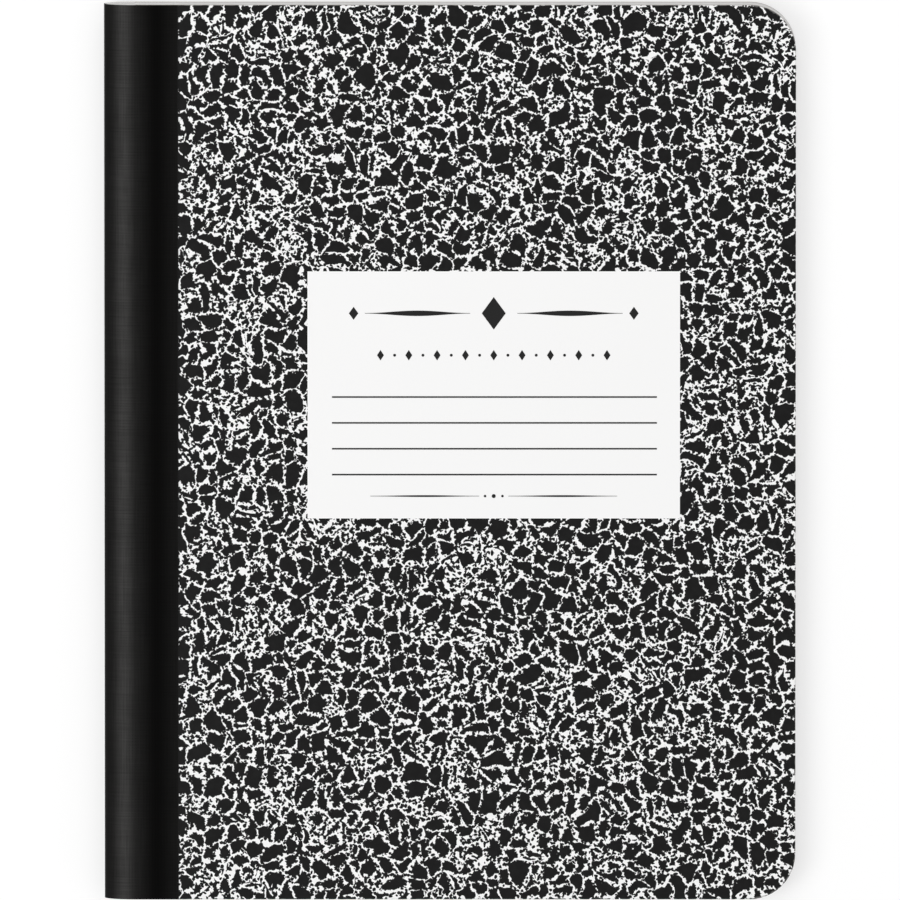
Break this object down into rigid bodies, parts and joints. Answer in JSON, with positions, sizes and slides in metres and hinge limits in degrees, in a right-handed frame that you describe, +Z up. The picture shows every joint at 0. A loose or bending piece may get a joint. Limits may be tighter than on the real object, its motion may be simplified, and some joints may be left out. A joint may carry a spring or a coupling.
{
  "type": "composition notebook",
  "caption": "Sewn notebook with stiff marbled covers, rounded fore-edge corners, a cloth tape round the spine and a lined white panel on the front.",
  "frame": {"origin": "on the surface the closed book lies on, below the middle of its outline", "axes": "+X from the spine to the fore edge, +Y from the tail to the head (the longest side), +Z up through the thickness, front cover uppermost"},
  "size_m": [0.1905, 0.2476, 0.0106],
  "materials": {
    "leaf_paper": "matte",
    "cover_board": "matte",
    "cover_print": "satin",
    "tape_cloth": "satin",
    "sewing_thread": "matte",
    "panel_white": "satin",
    "line_ink": "satin"
  },
  "bodies": {
    "back_cover": {"back_board": "cover_board", "back_cover_paper": "cover_print", "back_pastedown": "leaf_paper", "back_tape_wing": "tape_cloth"},
    "pages": {"page_block": "leaf_paper", "needle_thread": "sewing_thread", "bobbin_thread": "sewing_thread", "spine_tape": "tape_cloth"},
    "front_cover": {"front_board": "cover_board", "front_cover_paper": "cover_print", "front_pastedown": "leaf_paper", "front_tape_wing": "tape_cloth", "title_panel": "panel_white", "writing_lines": "line_ink"}
  },
  "joints": [
    {"name": "front_cover_hinge", "type": "hinge", "parent": "pages", "child": "front_cover", "pos_m": [-0.08675, 0, 0.0106], "axis": [0, -1, 0], "range_deg": [0, 180]},
    {"name": "back_cover_hinge", "type": "hinge", "parent": "pages", "child": "back_cover", "pos_m": [-0.08675, 0, 0], "axis": [0, 1, 0], "range_deg": [0, 180]}
  ]
}
